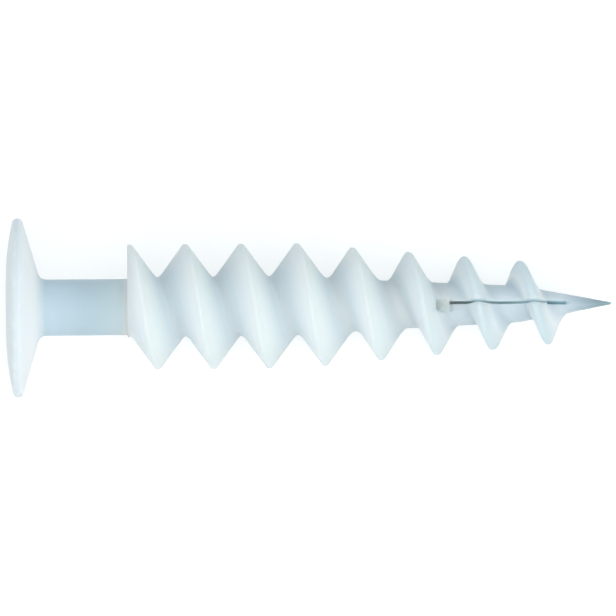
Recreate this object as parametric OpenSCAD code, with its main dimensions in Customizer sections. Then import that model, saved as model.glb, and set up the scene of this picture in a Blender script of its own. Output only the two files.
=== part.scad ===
// Insulation plug: a one-piece nylon fixing for soft insulation board. It has a wide shallow head
// with a six-lobed drive, a slender shank, a coarse right-handed thread that tapers, and a slit point.

/* [Overall] */
// Length from the face of the head to the point
plug_length = 85; // [82:0.5:100]
// Direction of the first crest about the axis, from the side upwards
crest_angle = 20; // [0:5:90]

/* [Head] */
// Diameter of the head
head_d = 25.2; // [20:0.1:32]
// Diameter of the flat middle of the face
face_land_d = 7.2; // [7.2:0.1:10]
// Radius of the curve from the flat middle to the rim
face_curve_r = 39; // [30:1:90]
// Radius of the rounded rim
rim_r = 0.76; // [0.5:0.02:1.2]
// Slope of the back of the head
head_slope = 16.2; // [10:0.2:24]
// Radius of the fillet between head and shank
head_fillet = 1.2; // [0.6:0.1:2]

/* [Drive] */
// Width of the six-lobed recess across its points
drive_d = 6.75; // [6.2:0.05:7]
// Width of the recess across its bays
drive_bay_d = 4.85; // [4.4:0.05:5]
// Radius of each of the six round lobes
lobe_r = 0.55; // [0.45:0.01:0.65]
// Depth of the recess
drive_depth = 4.2; // [3:0.1:6]

/* [Shank] */
// Diameter of the plain shank
shank_d = 7.9; // [7.2:0.1:7.9]
// Distance from the face to the flat start of the thread
thread_from = 17.1; // [14:0.1:22]

/* [Screw bore] */
// Diameter of the bore for the screw
bore_d = 4; // [3:0.1:4.4]
// Diameter of the narrow end of the bore
bore_end_d = 1.2; // [0.8:0.1:1.6]
// Length of the conical end of the bore, which runs into the slit
bore_point = 4; // [2:0.2:5]

/* [Thread] */
// Diameter over the crests of the straight thread
thread_d = 17.6; // [15:0.1:20]
// Diameter of the core in the straight thread
core_d = 8; // [8:0.1:8.8]
// Advance of the thread in one turn
pitch = 7.84; // [7.2:0.02:9]
// Distance from the face to the first crest
first_crest = 17.4; // [17:0.1:20]
// Length of the taper, up to the end of the full crest
taper_l = 35.1; // [30:0.1:40]
// Distance from the end of the full crest to the end of the point
thread_gap = 8.8; // [8:0.1:12]
// Diameter over the last full crest
thread_end_d = 11.5; // [9:0.1:14]
// Part of a turn in which the last crest runs out
run_out = 0.1; // [0.1:0.01:0.4]
// Angle of each flank to the radius in the straight thread
flank_angle = 35; // [30:1:38]
// Angle of the flank towards the head, at the end of the taper
end_head_flank = 16; // [14:1:30]
// Angle of the flank towards the point, at the end of the taper
end_point_flank = 22; // [16:1:30]
// Radius of the crest in the straight thread
crest_r = 0.36; // [0.2:0.02:0.5]
// Radius of the crest at the end of the taper
end_crest_r = 0.5; // [0.3:0.02:0.7]
// Length along the taper in which the wide teeth turn into slim ones
tooth_change = 34; // [20:1:40]
// Depth of the blend between flank and core in the straight thread
root_blend = 1.1; // [0.6:0.1:1.6]
// Depth of that blend at the end of the taper
end_root_blend = 1.6; // [0.6:0.1:1.8]

/* [Point] */
// Length of the point from its foot, where the core turns steeper
point_l = 13; // [9:0.1:16]
// Diameter of the core at the foot of the point
core_end_d = 5.1; // [4.6:0.05:6]
// Diameter of the blunt end of the point
point_end_d = 0.3; // [0.3:0.1:1]

/* [Slit] */
// Width of the slit
slit_w = 0.5; // [0.4:0.02:1]
// Length of the slit
slit_l = 16.4; // [12:0.1:18]
// Length of the solid end of the point, past the slit
slit_gap = 6.3; // [5:0.1:9]
// Length of the thin web that holds the two legs together at the end of the slit
web_l = 2.7; // [1:0.1:4]
// Thickness of the web, at the middle of the slit
web_t = 0.6; // [0.3:0.05:1]
// Direction of the slit about the axis, from the first crest
slit_angle = 84.5; // [70:0.5:110]
// Length of the pocket at the foot of the slit, up to the slit
pocket_l = 1.9; // [1.4:0.1:2.4]
// Width of the pocket across the slit
pocket_w = 1.9; // [1.4:0.1:2.4]
// Offset of the middle of the pocket from the middle of the slit
pocket_shift = 0.43; // [0:0.01:0.6]
// Radius of the corners of the pocket
pocket_corner = 0.5; // [0.2:0.05:0.6]
// Distance from the axis to the flat floor of the pocket
pocket_floor_r = 2.6; // [2.4:0.05:3]

/* [Hidden] */

// Steps round one turn of the thread and along each arc, and facets of each round solid
turn_steps = 48;
step_angle = 360 / turn_steps;
arc_steps = 8;
curve_fn = 96;
// Depth to which the shank runs into the threaded body, and cuts run out of a face
overlap = 1;

// Points of an arc about c, as [across, along], with angles from the first axis to the second
function arc(c, r, from, to) =
    [for (i = [0:arc_steps]) let (a = from + (to - from) * i / arc_steps)
        [c[0] + r * cos(a), c[1] + r * sin(a)]];

// Head, worked out from the rim circle, which touches the curve of the face and the sloped back
head_r = head_d / 2;
land_r = face_land_d / 2;
shank_r = shank_d / 2;
rim_centre_r = head_r - rim_r;
face_sweep = asin((rim_centre_r - land_r) / (face_curve_r - rim_r));
rim_centre_x = face_curve_r - (face_curve_r - rim_r) * cos(face_sweep);
back_touch_x = rim_centre_x + rim_r * cos(head_slope);
back_touch_r = rim_centre_r + rim_r * sin(head_slope);
fillet_r = shank_r + head_fillet;
fillet_touch_r = fillet_r - head_fillet * sin(head_slope);
fillet_touch_x = back_touch_x + (back_touch_r - fillet_touch_r) * tan(head_slope);
fillet_x = fillet_touch_x + head_fillet * cos(head_slope);

// Drive: six round lobes, with round bays that touch them
lobe_count = 6;
half_lobe = 180 / lobe_count;
lobe_centre_r = drive_d / 2 - lobe_r;
drive_bay_r = drive_bay_d / 2;
bay_r = (pow(lobe_centre_r, 2) + pow(drive_bay_r, 2) - pow(lobe_r, 2)
    - 2 * lobe_centre_r * drive_bay_r * cos(half_lobe))
    / (2 * (lobe_centre_r * cos(half_lobe) + lobe_r - drive_bay_r));
bay_centre_r = drive_bay_r + bay_r;
bay_touch = atan2(lobe_centre_r * sin(half_lobe), bay_centre_r - lobe_centre_r * cos(half_lobe));
lobe_touch = half_lobe + bay_touch;

// Thread
thread_r = thread_d / 2;
thread_end_r = thread_end_d / 2;
thread_to = plug_length - thread_gap;
taper_from = thread_to - taper_l;
point_from = plug_length - point_l;
crest_fall = (thread_r - thread_end_r) / (thread_to - taper_from);
core_r = core_d / 2;
core_end_r = core_end_d / 2;
point_end_r = point_end_d / 2;
fade_length = run_out * pitch;

// Slit and bore, which meet at the pocket
slit_to = plug_length - slit_gap;
slit_from = slit_to - slit_l;
bore_depth = slit_from - pocket_l;

// A value that goes from 0 to 1 between a and b
function ramp(x, a, b) = min(1, max(0, (x - a) / (b - a)));
function ease(t) = t * t * (3 - 2 * t);
function mix(a, b, t) = a + (b - a) * t;

// The larger of two heights, with their corner rounded over the depth k
function blend(a, b, k) = max(a, b) + pow(max(0, k - abs(a - b)), 2) / (4 * k);

// Radius of the core at a distance from the face
function core_radius(x) =
    x < point_from ? mix(core_r, core_end_r, ramp(x, taper_from, point_from))
    : mix(core_end_r, point_end_r, ramp(x, point_from, plug_length));

// Form of the tooth whose crest lies at a distance from the face
function slimness(crest_x) = ease(ramp(crest_x, taper_from, taper_from + tooth_change));
function tooth_angle(crest_x, s) =
    mix(flank_angle, s < 0 ? end_head_flank : end_point_flank, slimness(crest_x));
function tooth_round(crest_x) = mix(crest_r, end_crest_r, slimness(crest_x));
function tooth_blend(crest_x) = mix(root_blend, end_root_blend, slimness(crest_x));
function full_height(crest_x) =
    thread_r - crest_fall * max(0, crest_x - taper_from) - core_radius(crest_x);
function share_left(crest_x) = 1 - ease(ramp(crest_x, thread_to, thread_to + fade_length));
function tooth_height(crest_x) = full_height(crest_x) * share_left(crest_x);

// Half the width of the round crest and of the whole tooth on the core, on the side of s
function crest_half(crest_x, s) = tooth_round(crest_x) * cos(tooth_angle(crest_x, s));
function base_half(crest_x, s) =
    let (a = tooth_angle(crest_x, s))
    crest_half(crest_x, s) + (full_height(crest_x) - tooth_round(crest_x) * (1 - sin(a))) * tan(a);

// Radius of one tooth, s to the side of its crest
function tooth_radius(crest_x, s) =
    let (top = core_radius(crest_x) + tooth_height(crest_x), r = tooth_round(crest_x),
         half = crest_half(crest_x, s), a = tooth_angle(crest_x, s))
    abs(s) < half ? top - r + sqrt(r * r - s * s)
    : top - r * (1 - sin(a)) - (abs(s) - half) / tan(a);

// Place of crest n at an angle about the axis
function crest_place(angle, n) = first_crest + pitch * ((angle - crest_angle) / 360 + n);

// Radius of the threaded body at a distance from the face and an angle about the axis
function body_radius(x, angle) =
    let (n = round((x - crest_place(angle, 0)) / pitch),
         here = crest_place(angle, n), side = x < here ? -1 : 1,
         near = tooth_radius(here, x - here),
         next = tooth_radius(here + side * pitch, x - here - side * pitch),
         k = tooth_blend(here) * share_left(here))
    k == 0 ? core_radius(x) : blend(blend(near, next, k), core_radius(x), k);

// Grid lines that follow the thread. Two lie on the round crest and three on the blend at the root,
// at these shares of their half widths, and the last is halfway between two crests.
crest_lines = [0.6, 1.05];
blend_lines = [-0.8, 0, 0.8];
line_gap = 0.3;
side_lines = 6;
turn_lines = 2 * side_lines;

// Distance of line j from a crest, on the side of s
function line_side(crest_x, s, j) =
    let (crest = crest_half(crest_x, s), base = base_half(crest_x, s), middle = pitch / 2,
         root = [for (k = [0:2]) min(middle - (3 - k) * line_gap,
             base + blend_lines[k] * tooth_blend(crest_x) * tan(tooth_angle(crest_x, s)))])
    [0, crest_lines[0] * crest, crest_lines[1] * crest, root[0], root[1], root[2], middle][j];

// Place of grid line m at an angle about the axis
function line_place(angle, m) =
    let (n = floor(m / turn_lines), j = m - n * turn_lines,
         crest = crest_place(angle, j <= side_lines ? n : n + 1))
    j <= side_lines ? crest + line_side(crest, 1, j) : crest - line_side(crest, -1, turn_lines - j);

// The lines that lie between the two ends of the threaded body, for each step round the axis
end_margin = 0.12;
first_line = -2 * turn_lines;
last_line = ceil((plug_length - first_crest) / pitch + 1) * turn_lines;
lines = [for (i = [0:turn_steps]) [for (m = [first_line:last_line])
    let (x = line_place(i * step_angle, m))
    if (x > thread_from + end_margin && x < plug_length - end_margin) m]];

// Points of each step: the start face, the lines and the end face
ring_places = [for (i = [0:turn_steps - 1]) concat(
    [thread_from], [for (m = lines[i]) line_place(i * step_angle, m)], [plug_length])];
ring_sizes = [for (ring = ring_places) len(ring)];
function sum_before(list, count, i = 0, total = 0) =
    i >= count ? total : sum_before(list, count, i + 1, total + list[i]);
ring_starts = [for (i = [0:turn_steps - 1]) sum_before(ring_sizes, i)];
body_points = [for (i = [0:turn_steps - 1]) for (x = ring_places[i])
    let (a = i * step_angle, r = body_radius(x, a)) [x, r * cos(a), r * sin(a)]];

// Index of line m in step i, where the last step is the first one again, a turn further on
function wrap(i) = i % turn_steps;
function start_point(i) = ring_starts[wrap(i)];
function end_point(i) = start_point(i) + ring_sizes[wrap(i)] - 1;
function line_point(i, m) = start_point(i) + 1 + m - lines[i][0];

// Triangles between step i and the next one
function band(i) =
    let (low = lines[i][0], next_low = lines[i + 1][0],
         high = lines[i][len(lines[i]) - 1], next_high = lines[i + 1][len(lines[i + 1]) - 1],
         j = i + 1)
    concat(
        [[start_point(i), line_point(j, next_low), start_point(j)]],
        [for (m = [next_low:1:low - 1])
            [start_point(i), line_point(j, m + 1), line_point(j, m)]],
        [[start_point(i), line_point(i, low), line_point(j, low)]],
        [for (m = [low:next_high - 1]) each [
            [line_point(i, m), line_point(j, m + 1), line_point(j, m)],
            [line_point(i, m), line_point(i, m + 1), line_point(j, m + 1)]]],
        [for (m = [next_high:1:high - 1])
            [line_point(i, m), line_point(i, m + 1), end_point(j)]],
        [[line_point(i, high), end_point(i), end_point(j)]],
        [[line_point(i, next_high), end_point(j), line_point(j, next_high)]]);

// Rest: the tilt at which the rim of the head and a crest of the taper both touch the ground
function touch_tilt(crest_x) =
    let (along = crest_x - rim_centre_x, r = tooth_round(crest_x),
         drop = rim_centre_r - (core_radius(crest_x) + tooth_height(crest_x)) + r)
    asin((rim_r - r) / norm([along, drop])) + atan2(drop, along);
down_angle = 270;
down_crests = [for (n = [0:1:ceil((thread_to - first_crest) / pitch)])
    let (x = crest_place(down_angle, n)) if (x < thread_to + fade_length) x];
rest_tilt = min([for (x = down_crests) touch_tilt(x)]);
rim_low = rim_centre_x * sin(rest_tilt) + rim_centre_r * cos(rest_tilt) + rim_r;
reach_back = face_curve_r * (cos(rest_tilt) - 1) - land_r * sin(rest_tilt);
reach_front = plug_length * cos(rest_tilt) + point_end_r * sin(rest_tilt);

// Puts the axis, drawn upwards from the face, along +X
module along_axis() {
    rotate([0, 90, 0]) rotate(180) children();
}

// Outline of the head and shank, as radius and height
module head_outline() {
    face = arc([land_r, face_curve_r], face_curve_r, -90, -90 + face_sweep);
    rim = arc([rim_centre_r, rim_centre_x], rim_r, -90 + face_sweep, 90 - head_slope);
    fillet = arc([fillet_r, fillet_x], head_fillet, -90 - head_slope, -180);
    polygon(concat([[0, 0]], face, rim, fillet,
        [[shank_r, thread_from + overlap], [0, thread_from + overlap]]));
}

module head_and_shank() {
    along_axis() rotate_extrude($fn = curve_fn) head_outline();
}

module threaded_body() {
    start_face = [for (i = [0:turn_steps - 1]) start_point(i)];
    end_face = [for (i = [turn_steps - 1:-1:0]) end_point(i)];
    bands = [for (i = [0:turn_steps - 1]) each band(i)];
    polyhedron(points = body_points, faces = concat([start_face, end_face], bands));
}

module drive_recess() {
    outline = [for (i = [0:lobe_count - 1]) let (a = 2 * half_lobe * i, b = a + half_lobe) each concat(
        arc(lobe_centre_r * [cos(a), sin(a)], lobe_r, a - lobe_touch, a + lobe_touch),
        arc(bay_centre_r * [cos(b), sin(b)], bay_r, b + 180 + bay_touch, b + 180 - bay_touch))];
    along_axis() translate([0, 0, -overlap]) linear_extrude(drive_depth + overlap) polygon(outline);
}

module screw_bore() {
    along_axis() {
        cylinder(d = bore_d, h = bore_depth, $fn = curve_fn);
        translate([0, 0, bore_depth]) cylinder(d1 = bore_d, d2 = bore_end_d, h = bore_point, $fn = curve_fn);
    }
}

// The slit goes through both sides up to its web, and its pocket is a shallow flat place on one side
module slit() {
    corner = pocket_corner;
    x = [slit_from - pocket_l + corner, slit_from];
    z = [pocket_shift - pocket_w / 2 + corner, pocket_shift + pocket_w / 2 - corner];
    outline = concat(
        arc([x[0], z[0]], corner, 180, 270), arc([x[1], z[0]], corner, 270, 360),
        arc([x[1], z[1]], corner, 0, 90), arc([x[0], z[1]], corner, 90, 180));
    rotate([crest_angle + slit_angle, 0, 0]) {
        difference() {
            translate([slit_from, -thread_r, -slit_w / 2]) cube([slit_l, thread_d, slit_w]);
            translate([slit_to - web_l, -web_t / 2, -slit_w]) cube([web_l + overlap, web_t, 2 * slit_w]);
        }
        mirror([0, 1, 0]) rotate([90, 0, 0]) translate([0, 0, pocket_floor_r])
            linear_extrude(thread_r) polygon(outline);
    }
}

module insulation_plug() {
    color("aliceblue")
        translate([-(reach_front + reach_back) / 2, 0, rim_low])
        rotate([0, rest_tilt, 0])
        difference() {
            union() {
                head_and_shank();
                threaded_body();
            }
            drive_recess();
            screw_bore();
            slit();
        }
}

insulation_plug();
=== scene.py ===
import math

import bpy
from mathutils import Matrix, Vector


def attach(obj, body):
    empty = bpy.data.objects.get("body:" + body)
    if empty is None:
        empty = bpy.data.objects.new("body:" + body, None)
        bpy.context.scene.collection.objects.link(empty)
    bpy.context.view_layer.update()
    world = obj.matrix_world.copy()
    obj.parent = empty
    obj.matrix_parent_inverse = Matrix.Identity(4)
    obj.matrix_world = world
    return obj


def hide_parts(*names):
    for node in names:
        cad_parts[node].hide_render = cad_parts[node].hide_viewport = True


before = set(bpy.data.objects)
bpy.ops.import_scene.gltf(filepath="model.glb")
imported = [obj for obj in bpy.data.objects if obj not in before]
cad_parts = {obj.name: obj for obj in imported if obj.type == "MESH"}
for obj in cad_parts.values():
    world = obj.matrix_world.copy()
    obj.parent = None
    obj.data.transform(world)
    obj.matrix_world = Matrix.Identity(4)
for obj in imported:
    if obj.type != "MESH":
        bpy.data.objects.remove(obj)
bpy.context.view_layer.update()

MM = 0.001

# How the plug lies: its axis starts at the middle of the head's face and dips towards the point
TILT = math.radians(5.27769)
FACE_X = -42.0785 * MM
FACE_Z = 12.7023 * MM
LAY = Matrix.Translation((FACE_X, 0, FACE_Z)) @ Matrix.Rotation(TILT, 4, "Y")

# Places along the plug's axis, from the head's face
RIM_AT = 1.75 * MM
THREAD_FROM = 17.1 * MM
TAPER_FROM = 42.0 * MM
POCKET_FROM = 60.4 * MM
SLIT_FROM = 62.3 * MM
POINT_FROM = 72.0 * MM
TAPER_TO = 76.1 * MM
SLIT_TO = 78.7 * MM
LENGTH = 85.0 * MM
WEB_L = 2.7 * MM

# Distances from the plug's axis, and the turn of the slit about it
BORE_R = 2.0 * MM
DRIVE_R = 3.375 * MM
CORE_R = 3.95 * MM
END_CORE_R = 2.5 * MM
CREST_R = 8.8 * MM
END_CREST_R = 5.75 * MM
SLIT_TURN = math.radians(104.5)

# Seam of the mould: where it runs, how wide and high it is, and how near the axis it may come
SEAM_FROM = 1.9 * MM
SEAM_TO = 82.4 * MM
SEAM_W = 0.14 * MM
SEAM_H = 0.035 * MM
SEAM_BORE_R = BORE_R + 0.4 * MM
SEAM_POINT_R = 0.55 * MM

# Softened edges, and the distance at which two places count as one
DRIVE_ROUND = 0.12 * MM
START_ROUND = 0.1 * MM
START_EDGE_R = CORE_R + 1.2 * MM
SHARP_ANGLE = math.radians(50)
SMOOTH_ANGLE = math.radians(40)
ROUND_STEPS = 3
TOUCH = 0.002 * MM
CUT_TOUCH = TOUCH / 10

# Where the painted light and shade of the head and the shank begin and end: a face painted light, painted
# shade towards the rim and on its rounding, and painted light on the shank towards the thread and at the
# thread's start
HEAD_FADE = (3.0 * MM, 5.6 * MM)
RIM_SHADE_FADE = (6.5 * MM, 12.6 * MM)
RIM_ROUND_SHADE_FADE = (0.1 * MM, 0.75 * MM)
NECK_LIGHT_FADE = (10.0 * MM, THREAD_FROM)
NECK_LIGHT_POWER = 2
NECK_END_LIGHT_FADE = (THREAD_FROM - 0.9 * MM, THREAD_FROM - 0.2 * MM)
THREAD_START_LIGHT_FADE = (THREAD_FROM, THREAD_FROM + 2.3 * MM)

# How pale the thread is painted, from 0 at the core to 1 at the crest, on the first and the last turns:
# paler where thin, partly the thin nylon's own look and partly painted light, with painted shade on the
# crests, on the core between the last turns and on the flanks that face the point
LAST_TURNS_FADE = (48.0 * MM, 72.0 * MM)
FIRST_CORE_THIN = 0.5
FIRST_POWER = 0.5
FIRST_CREST = (0.8, 1.0)
FIRST_CREST_SHADE = 0.2
LAST_FOOT = (0.0, 0.4)
LAST_CORE_THIN = 0.45
LAST_FOOT_THIN = 0.85
LAST_FLANK = (0.4, 1.0)
LAST_CREST_SHADE = 0.65
POINT_SIDE_SHADE_FADE = (-0.8, -0.1)

# Masks of the slit, its foot, its web, the pocket and the point's end, and how far some reach past them:
# painted light in the slit, its foot and the pocket, and painted shade at the web and the point's end
SPARE = 0.05 * MM
SLIT_HALF_W = 0.29 * MM
SLIT_FOOT_LIGHT_FADE = (SLIT_FROM + 2.6 * MM, SLIT_FROM + 4.4 * MM)
BORE_POINT_FROM = POCKET_FROM - 4.0 * MM
POCKET_SIDE = 0.43 * MM
POCKET_HALF_W = 1.0 * MM
POCKET_HALF_L = 0.95 * MM
POCKET_R = 3.1 * MM
WEB_HALF_W = 0.42 * MM
POINT_END_SHADE_FADE = (LENGTH - 7.0 * MM, LENGTH)

# Colours of the nylon, from its thick places to its thin ones, partly its own tint and partly painted light
# and shade, and then the painted light and shade that lie over them in turn
# The shank colour, bluer where thick, and the crest colour, pale where thin, are partly the nylon's own
# tint and partly painted light
SHANK_COLOUR = (0.53, 0.64, 0.71)
# Painted light on the shank towards the thread
NECK_LIGHT_COLOUR = (0.78, 0.92, 1.0)
CREST_COLOUR = (0.89, 0.905, 0.905)
# The head's face is painted near white, partly for its thin nylon and partly as painted light; the rim and
# its rounding get painted shade
LIT_FACE_COLOUR = (0.985, 0.99, 1.0)
RIM_SHADE_COLOUR = (0.87, 0.93, 0.96)
RIM_ROUND_SHADE_COLOUR = (0.72, 0.78, 0.83)
LAYERS = (
    # Painted light on the shank's end next to the thread
    ("Neck end light", (0.88, 0.98, 1.0), "MIX"),
    # Painted light on the start of the thread
    ("Thread start light", (0.96, 1.0, 0.995), "MIX"),
    # Painted shade on the thread's flanks that face the point
    ("Point side shade", (0.883, 0.91, 0.877), "MULTIPLY"),
    # Painted shade on the core between the last turns
    ("Last core shade", (0.82, 0.84, 0.87), "MULTIPLY"),
    # Painted light on the slit's walls
    ("Slit", (0.76, 0.89, 0.95), "MIX"),
    # Painted light in the slit's foot and the bore's end
    ("Slit foot light", (0.84, 0.96, 1.0), "MIX"),
    # Painted light in the pocket
    ("Pocket light", (0.76, 0.94, 1.0), "MIX"),
    # Painted shade around the slit at the web
    ("Web shade", (0.50, 0.64, 0.70), "MIX"),
    # The point's end painted nearly black as shade
    ("Point", (0.03, 0.08, 0.09), "MIX"))

# Gloss, grain and the light that scatters in the nylon
GRAIN_SCALE = 9000.0
GRAIN_DETAIL = 3
GRAIN_SHARE = 0.3
WAVE_SCALE = 350.0
WAVE_DETAIL = 2
BUMP_STRENGTH = 0.25
BUMP_HEIGHT = 0.04 * MM
ROUGHNESS = (0.5, 0.62)
NYLON_IOR = 1.53
SCATTER_WEIGHT = 1.0
SCATTER_RADIUS = (1.0, 1.1, 1.2)
SCATTER_SCALE = 4.0 * MM

# Camera: square to the axis, high in front, with a long lens
VIEW_UP = math.radians(70)
ROLL = math.radians(0.45)
DISTANCE = 2.88
LENS = 1198
SENSOR_W = 36
CLIP_END = 50
AIM_AT = 42.43 * MM
AIM_BELOW = 0.33 * MM

# Light: one large soft lamp high in front, weaker ones at the side and the back, and a pale room
LAMP_DISTANCE = 0.8
LAMP_SIZE = 0.7
LAMPS = (
    ("soft lamp", (0.15, -0.54, 0.80), 3.3),
    ("side lamp", (0.95, -0.25, 0.35), 0.9),
    ("back lamp", (-0.1, 0.85, 0.5), 0.35))
ROOM_COLOUR = (0.82, 0.95, 1.0, 1.0)
ROOM_STRENGTH = 0.58
FLOOR_SIZE = 6
PAPER_COLOUR = (0.9, 0.9, 0.9)
PAPER_SEEN_COLOUR = (0.55, 0.55, 0.55)
PAPER_GLOW = 0.6


def along(x, y, z):
    """A point given from the plug's own axes, in the row's frame."""
    return LAY @ Vector((x, y, z))


def along_turn(x, y, z):
    """A direction given in the plug's own axes, in the row's frame."""
    return LAY.to_3x3() @ Vector((x, y, z))


def own_place(point):
    """A point of the row's frame, back in the plug's own axes."""
    return LAY.inverted() @ point


# Camera, lamps, room and floor

def add_camera():
    axis = along_turn(1, 0, 0)
    over = along_turn(0, 0, 1)
    side = Vector((0, 1, 0))
    toward = over * math.sin(VIEW_UP) - side * math.cos(VIEW_UP)
    above = side * math.sin(VIEW_UP) + over * math.cos(VIEW_UP)
    right = axis * math.cos(ROLL) - above * math.sin(ROLL)
    up = axis * math.sin(ROLL) + above * math.cos(ROLL)
    spot = along(AIM_AT, 0, 0) - up * AIM_BELOW + toward * DISTANCE
    data = bpy.data.cameras.new("camera")
    data.lens = LENS
    data.sensor_width = SENSOR_W
    data.clip_end = CLIP_END
    camera = bpy.data.objects.new("camera", data)
    turn = Matrix((right, up, toward)).transposed().to_4x4()
    camera.matrix_world = Matrix.Translation(spot) @ turn
    bpy.context.scene.collection.objects.link(camera)
    bpy.context.scene.camera = camera


def add_lamp(name, direction, power):
    direction = Vector(direction)
    data = bpy.data.lights.new(name, "AREA")
    data.shape = "DISK"
    data.size = LAMP_SIZE
    data.energy = power
    lamp = bpy.data.objects.new(name, data)
    turn = direction.to_track_quat("Z", "Y").to_matrix().to_4x4()
    lamp.matrix_world = Matrix.Translation(direction.normalized() * LAMP_DISTANCE) @ turn
    bpy.context.scene.collection.objects.link(lamp)


def background_seen(tree):
    """1 where a ray from the camera, from gloss or through clear parts shows the background."""
    rays = tree.nodes.new("ShaderNodeLightPath")
    seen = math_node(tree, "MAXIMUM", rays.outputs["Is Camera Ray"], rays.outputs["Is Glossy Ray"])
    return math_node(tree, "MAXIMUM", seen, rays.outputs["Is Transmission Ray"])


def add_room():
    world = bpy.data.worlds.new("pale room")
    bpy.context.scene.world = world
    world.use_nodes = True
    tree = world.node_tree
    tree.nodes.clear()
    fill = tree.nodes.new("ShaderNodeBackground")
    fill.inputs["Color"].default_value = ROOM_COLOUR
    fill.inputs["Strength"].default_value = ROOM_STRENGTH
    white = tree.nodes.new("ShaderNodeBackground")
    mix = tree.nodes.new("ShaderNodeMixShader")
    out = tree.nodes.new("ShaderNodeOutputWorld")
    tree.links.new(background_seen(tree), mix.inputs["Fac"])
    tree.links.new(fill.outputs[0], mix.inputs[1])
    tree.links.new(white.outputs[0], mix.inputs[2])
    tree.links.new(mix.outputs[0], out.inputs["Surface"])


def add_floor():
    bpy.ops.object.select_all(action="DESELECT")
    bpy.ops.mesh.primitive_plane_add(size=FLOOR_SIZE)
    floor = bpy.context.object
    floor.name = "floor"
    paper = bpy.data.materials.new("white paper")
    paper.use_nodes = True
    tree = paper.node_tree
    tree.nodes.clear()
    seen = background_seen(tree)
    diffuse = tree.nodes.new("ShaderNodeBsdfDiffuse")
    glow = tree.nodes.new("ShaderNodeEmission")
    add = tree.nodes.new("ShaderNodeAddShader")
    out = tree.nodes.new("ShaderNodeOutputMaterial")
    tone = mix_node(tree, seen, PAPER_COLOUR, PAPER_SEEN_COLOUR)
    tree.links.new(tone, diffuse.inputs["Color"])
    tree.links.new(product(tree, seen, PAPER_GLOW), glow.inputs["Strength"])
    tree.links.new(diffuse.outputs[0], add.inputs[0])
    tree.links.new(glow.outputs[0], add.inputs[1])
    tree.links.new(add.outputs[0], out.inputs["Surface"])
    floor.data.materials.append(paper)


# Small node helpers, each of which gives the socket of its result

def math_node(tree, operation, first, second=None, clamp=False):
    node = tree.nodes.new("ShaderNodeMath")
    node.operation = operation
    node.use_clamp = clamp
    for place, value in enumerate((first, second)):
        if value is None:
            continue
        if isinstance(value, (int, float)):
            node.inputs[place].default_value = value
        else:
            tree.links.new(value, node.inputs[place])
    return node.outputs[0]


def product(tree, first, *others):
    for other in others:
        first = math_node(tree, "MULTIPLY", first, other)
    return first


def less(tree, first, second):
    return math_node(tree, "SUBTRACT", first, second)


def ramp_node(tree, value, span, low, high):
    """A value that goes from low to high while another goes through its span."""
    node = tree.nodes.new("ShaderNodeMapRange")
    tree.links.new(value, node.inputs["Value"])
    for name, bound in zip(("From Min", "From Max", "To Min", "To Max"), (*span, low, high)):
        node.inputs[name].default_value = bound
    return node.outputs[0]


def within_node(tree, value, middle, half):
    """1 where a value lies within half of the middle, and 0 elsewhere."""
    off = math_node(tree, "ABSOLUTE", less(tree, value, middle))
    return math_node(tree, "LESS_THAN", off, half)


def mix_node(tree, factor, first, second, blend="MIX"):
    """A colour that goes from the first to the second, each a socket or a colour."""
    node = tree.nodes.new("ShaderNodeMix")
    node.data_type = "RGBA"
    node.blend_type = blend
    tree.links.new(factor, node.inputs[0])
    for name, value in (("A", first), ("B", second)):
        if isinstance(value, tuple):
            node.inputs[name].default_value = (*value, 1)
        else:
            tree.links.new(value, node.inputs[name])
    return node.outputs["Result"]


# Effects: node groups that put out masks and heights

def new_group(name, inputs):
    group = bpy.data.node_groups.new(name, "ShaderNodeTree")
    for socket, kind, value in inputs:
        made = group.interface.new_socket(socket, in_out="INPUT", socket_type=kind)
        if value is not None:
            made.default_value = value
    return group, group.nodes.new("NodeGroupInput")


def put_out(group, results):
    """Gives the group an output for each named result."""
    for name in results:
        group.interface.new_socket(name, in_out="OUTPUT", socket_type="NodeSocketFloat")
    leave = group.nodes.new("NodeGroupOutput")
    for name, socket in results.items():
        group.links.new(socket, leave.inputs[name])


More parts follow.
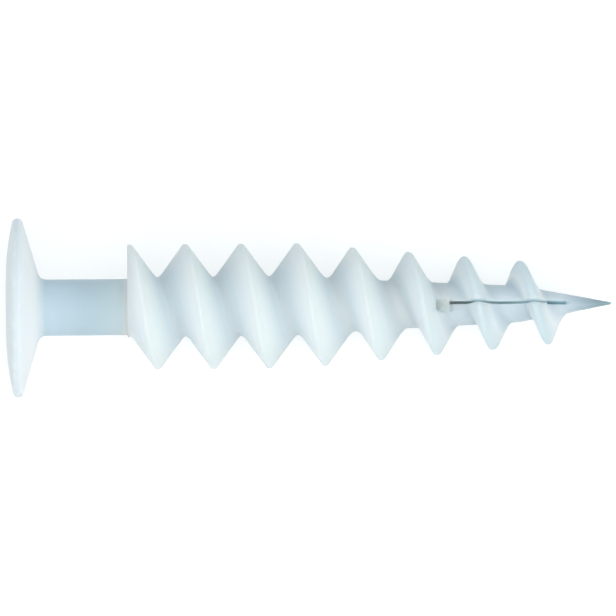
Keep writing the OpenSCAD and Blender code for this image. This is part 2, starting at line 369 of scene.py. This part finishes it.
def thread_masks(group, x, radius, normal):
    """How pale the thread is painted where thin, with painted shade on its crests, and masks of painted
    shade on its flanks that face the point and on the core between the last turns.
    """
    core_slope = ramp_node(group, x, (TAPER_FROM, POINT_FROM), CORE_R, END_CORE_R)
    core = less(group, core_slope, ramp_node(group, x, (POINT_FROM, LENGTH), 0.0, END_CORE_R))
    crest = ramp_node(group, x, (TAPER_FROM, TAPER_TO), CREST_R, END_CREST_R)
    share = math_node(group, "DIVIDE", less(group, radius, core), less(group, crest, core), clamp=True)
    threaded = math_node(group, "GREATER_THAN", x, THREAD_FROM)
    # Paler towards the crest, with painted shade on the crest itself on the first turns
    rise = less(group, math_node(group, "POWER", share, FIRST_POWER),
                ramp_node(group, share, FIRST_CREST, 0.0, FIRST_CREST_SHADE))
    first_turns = math_node(group, "MAXIMUM", product(group, threaded, FIRST_CORE_THIN), rise)
    # On the last turns the core and the crests get painted shade
    last_turns = less(group, ramp_node(group, share, LAST_FOOT, LAST_CORE_THIN, LAST_FOOT_THIN),
                      ramp_node(group, share, LAST_FLANK, 0.0, LAST_CREST_SHADE))
    last = ramp_node(group, x, LAST_TURNS_FADE, 0.0, 1.0)
    change = product(group, last, less(group, last_turns, first_turns))
    # Painted shade on the flanks that face the point, by how far each face turns towards it
    facing = group.nodes.new("ShaderNodeVectorMath")
    facing.operation = "DOT_PRODUCT"
    facing.inputs[1].default_value = along_turn(1, 0, 0)
    group.links.new(normal, facing.inputs[0])
    turned = ramp_node(group, facing.outputs["Value"], POINT_SIDE_SHADE_FADE, 0.0, 1.0)
    return {
        "Thin": math_node(group, "ADD", first_turns, change),
        "Point side shade": product(group, threaded, share, turned),
        # Painted shade on the core between the last turns
        "Last core shade": product(group, last, ramp_node(group, share, LAST_FOOT, 1.0, 0.0))}


def head_masks(group, x, radius):
    """Painted light on the head's face and painted shade on its rim, and painted light on the shank towards
    the thread and at both ends of the step from the shank to the thread.
    """
    on_shank = math_node(group, "LESS_THAN", x, THREAD_FROM)
    before_start = math_node(group, "LESS_THAN", x, THREAD_FROM + TOUCH)
    past_start = math_node(group, "GREATER_THAN", x, THREAD_FROM + TOUCH)
    # Painted light on the shank towards the thread, and at both ends of the step to the thread
    neck = math_node(group, "POWER", ramp_node(group, x, NECK_LIGHT_FADE, 0.0, 1.0), NECK_LIGHT_POWER)
    off_rim = math_node(group, "ABSOLUTE", less(group, x, RIM_AT))
    return {
        # Painted light on the head's face, and painted shade towards its rim and on the rim's rounding
        "Head": ramp_node(group, x, HEAD_FADE, 1.0, 0.0),
        "Rim": ramp_node(group, radius, RIM_SHADE_FADE, 0.0, 1.0),
        "Rim round": ramp_node(group, off_rim, RIM_ROUND_SHADE_FADE, 1.0, 0.0),
        "Neck": product(group, on_shank, neck),
        "Neck end light": product(group, before_start, ramp_node(group, x, NECK_END_LIGHT_FADE, 0.0, 1.0)),
        "Thread start light": product(group, past_start, ramp_node(group, x, THREAD_START_LIGHT_FADE, 1.0, 0.0))}


def slit_masks(group, x, across, up, radius):
    """Painted light on the walls of the slit, its foot and the pocket, and painted shade on the web near
    the end and on the end of the point.
    """
    side = less(group, product(group, up, math.cos(SLIT_TURN)), product(group, across, math.sin(SLIT_TURN)))
    slit_middle = (SLIT_FROM + SLIT_TO) / 2
    # Painted light on the slit's walls, in its foot and the bore's end, and in the pocket
    slit = product(group, within_node(group, side, 0.0, SLIT_HALF_W),
                   within_node(group, x, slit_middle, SLIT_TO - slit_middle + SPARE))
    in_bore = product(group, math_node(group, "LESS_THAN", radius, BORE_R + SPARE),
                      math_node(group, "GREATER_THAN", x, BORE_POINT_FROM))
    pocket = product(group, within_node(group, side, POCKET_SIDE, POCKET_HALF_W),
                     within_node(group, x, (POCKET_FROM + SLIT_FROM) / 2, POCKET_HALF_L),
                     math_node(group, "LESS_THAN", radius, POCKET_R))
    # Painted shade on the ring around the slit at the web
    web = product(group, within_node(group, side, 0.0, WEB_HALF_W),
                  within_node(group, x, SLIT_TO - WEB_L / 2, WEB_L / 2 + SPARE))
    return {
        "Slit": slit,
        "Slit foot light": product(group, ramp_node(group, x, SLIT_FOOT_LIGHT_FADE, 1.0, 0.0),
                             math_node(group, "MAXIMUM", slit, in_bore)),
        "Pocket light": pocket,
        "Web shade": web,
        # Painted shade at the end of the point
        "Point": ramp_node(group, x, POINT_END_SHADE_FADE, 0.0, 1.0)}


def place_group():
    """Masks of the moulding's places, which carry painted light and shade, from a point in the plug's own
    axes and the row's normal.
    """
    group, entry = new_group("places of the moulding", [
        ("Vector", "NodeSocketVector", None),
        ("Normal", "NodeSocketVector", None)])
    split = group.nodes.new("ShaderNodeSeparateXYZ")
    group.links.new(entry.outputs["Vector"], split.inputs[0])
    x, across, up = split.outputs
    square = math_node(group, "ADD", product(group, across, across), product(group, up, up))
    radius = math_node(group, "SQRT", square)
    put_out(group, {
        **thread_masks(group, x, radius, entry.outputs["Normal"]),
        **head_masks(group, x, radius),
        **slit_masks(group, x, across, up, radius)})
    return group


def grain_group():
    """Fine moulded grain and slow waviness as a height, and the waviness alone as a cloud."""
    group, entry = new_group("moulded grain", [
        ("Vector", "NodeSocketVector", None),
        ("Grain scale", "NodeSocketFloat", GRAIN_SCALE),
        ("Wave scale", "NodeSocketFloat", WAVE_SCALE)])
    noise = {}
    for scale, detail in (("Grain scale", GRAIN_DETAIL), ("Wave scale", WAVE_DETAIL)):
        node = group.nodes.new("ShaderNodeTexNoise")
        node.inputs["Detail"].default_value = detail
        group.links.new(entry.outputs["Vector"], node.inputs["Vector"])
        group.links.new(entry.outputs[scale], node.inputs["Scale"])
        noise[scale] = node.outputs["Fac"]
    fine = product(group, noise["Grain scale"], GRAIN_SHARE)
    put_out(group, {
        "Height": math_node(group, "ADD", fine, noise["Wave scale"]),
        "Cloud": noise["Wave scale"]})
    return group


# The plug's material

def place_node(tree, group, vector):
    node = tree.nodes.new("ShaderNodeGroup")
    node.node_tree = group
    tree.links.new(vector, node.inputs["Vector"])
    return node


def nylon():
    """Natural nylon from the mould: cool white where thin, bluer and deeper where thick, partly its own
    look and partly painted light, with painted light and shade laid over it.
    """
    material = bpy.data.materials.new("natural nylon")
    material.use_nodes = True
    tree = material.node_tree
    shader = tree.nodes["Principled BSDF"]
    place = tree.nodes.new("ShaderNodeTexCoord")
    lay = tree.nodes.new("ShaderNodeMapping")
    lay.vector_type = "TEXTURE"
    lay.inputs["Location"].default_value = (FACE_X, 0, FACE_Z)
    lay.inputs["Rotation"].default_value = (0, TILT, 0)
    tree.links.new(place.outputs["Object"], lay.inputs["Vector"])
    places = place_node(tree, place_group(), lay.outputs[0])
    tree.links.new(place.outputs["Normal"], places.inputs["Normal"])
    masks = places.outputs
    # Painted light on the shank towards the thread
    plain = mix_node(tree, masks["Neck"], SHANK_COLOUR, NECK_LIGHT_COLOUR)
    shade = mix_node(tree, masks["Thin"], plain, CREST_COLOUR)
    # Painted shade on the rim and its rounding, painted light on the head's face
    rim = mix_node(tree, masks["Rim round"], RIM_SHADE_COLOUR, RIM_ROUND_SHADE_COLOUR)
    head = mix_node(tree, masks["Rim"], LIT_FACE_COLOUR, rim)
    colour = mix_node(tree, masks["Head"], shade, head)
    for mask, tint, blend in LAYERS:
        colour = mix_node(tree, masks[mask], colour, tint, blend)
    tree.links.new(colour, shader.inputs["Base Color"])
    grain = place_node(tree, grain_group(), lay.outputs[0])
    rough = ramp_node(tree, grain.outputs["Cloud"], (0.0, 1.0), *ROUGHNESS)
    tree.links.new(rough, shader.inputs["Roughness"])
    bump = tree.nodes.new("ShaderNodeBump")
    bump.inputs["Strength"].default_value = BUMP_STRENGTH
    bump.inputs["Distance"].default_value = BUMP_HEIGHT
    tree.links.new(grain.outputs["Height"], bump.inputs["Height"])
    tree.links.new(bump.outputs[0], shader.inputs["Normal"])
    shader.inputs["IOR"].default_value = NYLON_IOR
    shader.inputs["Subsurface Weight"].default_value = SCATTER_WEIGHT
    shader.inputs["Subsurface Radius"].default_value = SCATTER_RADIUS
    shader.inputs["Subsurface Scale"].default_value = SCATTER_SCALE
    return material


# The plug's surface

def keep_selected(piece, kind, wanted):
    """Keeps, of the selected vertices or edges, those whose places in the plug's own axes are wanted."""
    bpy.ops.object.mode_set(mode="OBJECT")
    mesh = piece.data
    good = [wanted(own_place(vertex.co)) for vertex in mesh.vertices]
    for face in mesh.polygons:
        face.select = False
    for edge in mesh.edges:
        edge.select = kind == "EDGE" and edge.select and all(good[index] for index in edge.vertices)
    for vertex in mesh.vertices:
        vertex.select = kind == "VERT" and vertex.select and good[vertex.index]
    bpy.ops.object.mode_set(mode="EDIT")
    bpy.ops.mesh.select_mode(type=kind)


def soften(piece, wanted, width):
    """Rounds the sharp edges that are wanted."""
    bpy.ops.mesh.select_mode(type="EDGE")
    bpy.ops.mesh.select_all(action="DESELECT")
    bpy.ops.mesh.edges_select_sharp(sharpness=SHARP_ANGLE)
    keep_selected(piece, "EDGE", wanted)
    bpy.ops.mesh.bevel(offset=width, segments=ROUND_STEPS, affect="EDGES", clamp_overlap=True)


def off_axis(place):
    return math.hypot(place.y, place.z)


def on_drive_mouth(place):
    return abs(place.x) < TOUCH and off_axis(place) < DRIVE_R + TOUCH


def on_thread_start(place):
    return abs(place.x - THREAD_FROM) < TOUCH and off_axis(place) > START_EDGE_R


def on_seam(place):
    least = SEAM_BORE_R if place.x < POCKET_FROM else SEAM_POINT_R
    return SEAM_FROM < place.x < SEAM_TO and off_axis(place) > least


def raise_seam(piece):
    """A fine ridge where the two halves of the mould met, square to the slit."""
    across_seam = along_turn(0, math.cos(SLIT_TURN), math.sin(SLIT_TURN))
    bpy.ops.mesh.select_mode(type="VERT")
    for side in (-1, 1, 0):
        bpy.ops.mesh.select_all(action="SELECT")
        bpy.ops.mesh.bisect(plane_co=along(0, 0, 0) + across_seam * side * SEAM_W / 2,
                            plane_no=across_seam, threshold=CUT_TOUCH)
    keep_selected(piece, "VERT", on_seam)
    bpy.ops.transform.shrink_fatten(value=SEAM_H)


def mould_plug():
    """The plug's own surface, welded, with softened edges and the seam of its mould."""
    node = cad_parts["insulation_plug"]
    plug = node.copy()
    plug.data = node.data.copy()
    plug.name = "moulded_plug"
    bpy.context.scene.collection.objects.link(plug)
    bpy.ops.object.select_all(action="DESELECT")
    plug.select_set(True)
    bpy.context.view_layer.objects.active = plug
    bpy.ops.object.mode_set(mode="EDIT")
    bpy.ops.mesh.select_all(action="SELECT")
    bpy.ops.mesh.remove_doubles(threshold=TOUCH)
    soften(plug, on_drive_mouth, DRIVE_ROUND)
    soften(plug, on_thread_start, START_ROUND)
    raise_seam(plug)
    bpy.ops.object.mode_set(mode="OBJECT")
    bpy.ops.object.shade_smooth_by_angle(angle=SMOOTH_ANGLE)
    plug.data.materials.clear()
    plug.data.materials.append(nylon())
    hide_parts("insulation_plug")
    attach(plug, "root")


bpy.context.scene.view_settings.view_transform = "Standard"
add_camera()
add_room()
add_floor()
for lamp_name, lamp_direction, lamp_power in LAMPS:
    add_lamp(lamp_name, lamp_direction, lamp_power)
mould_plug()
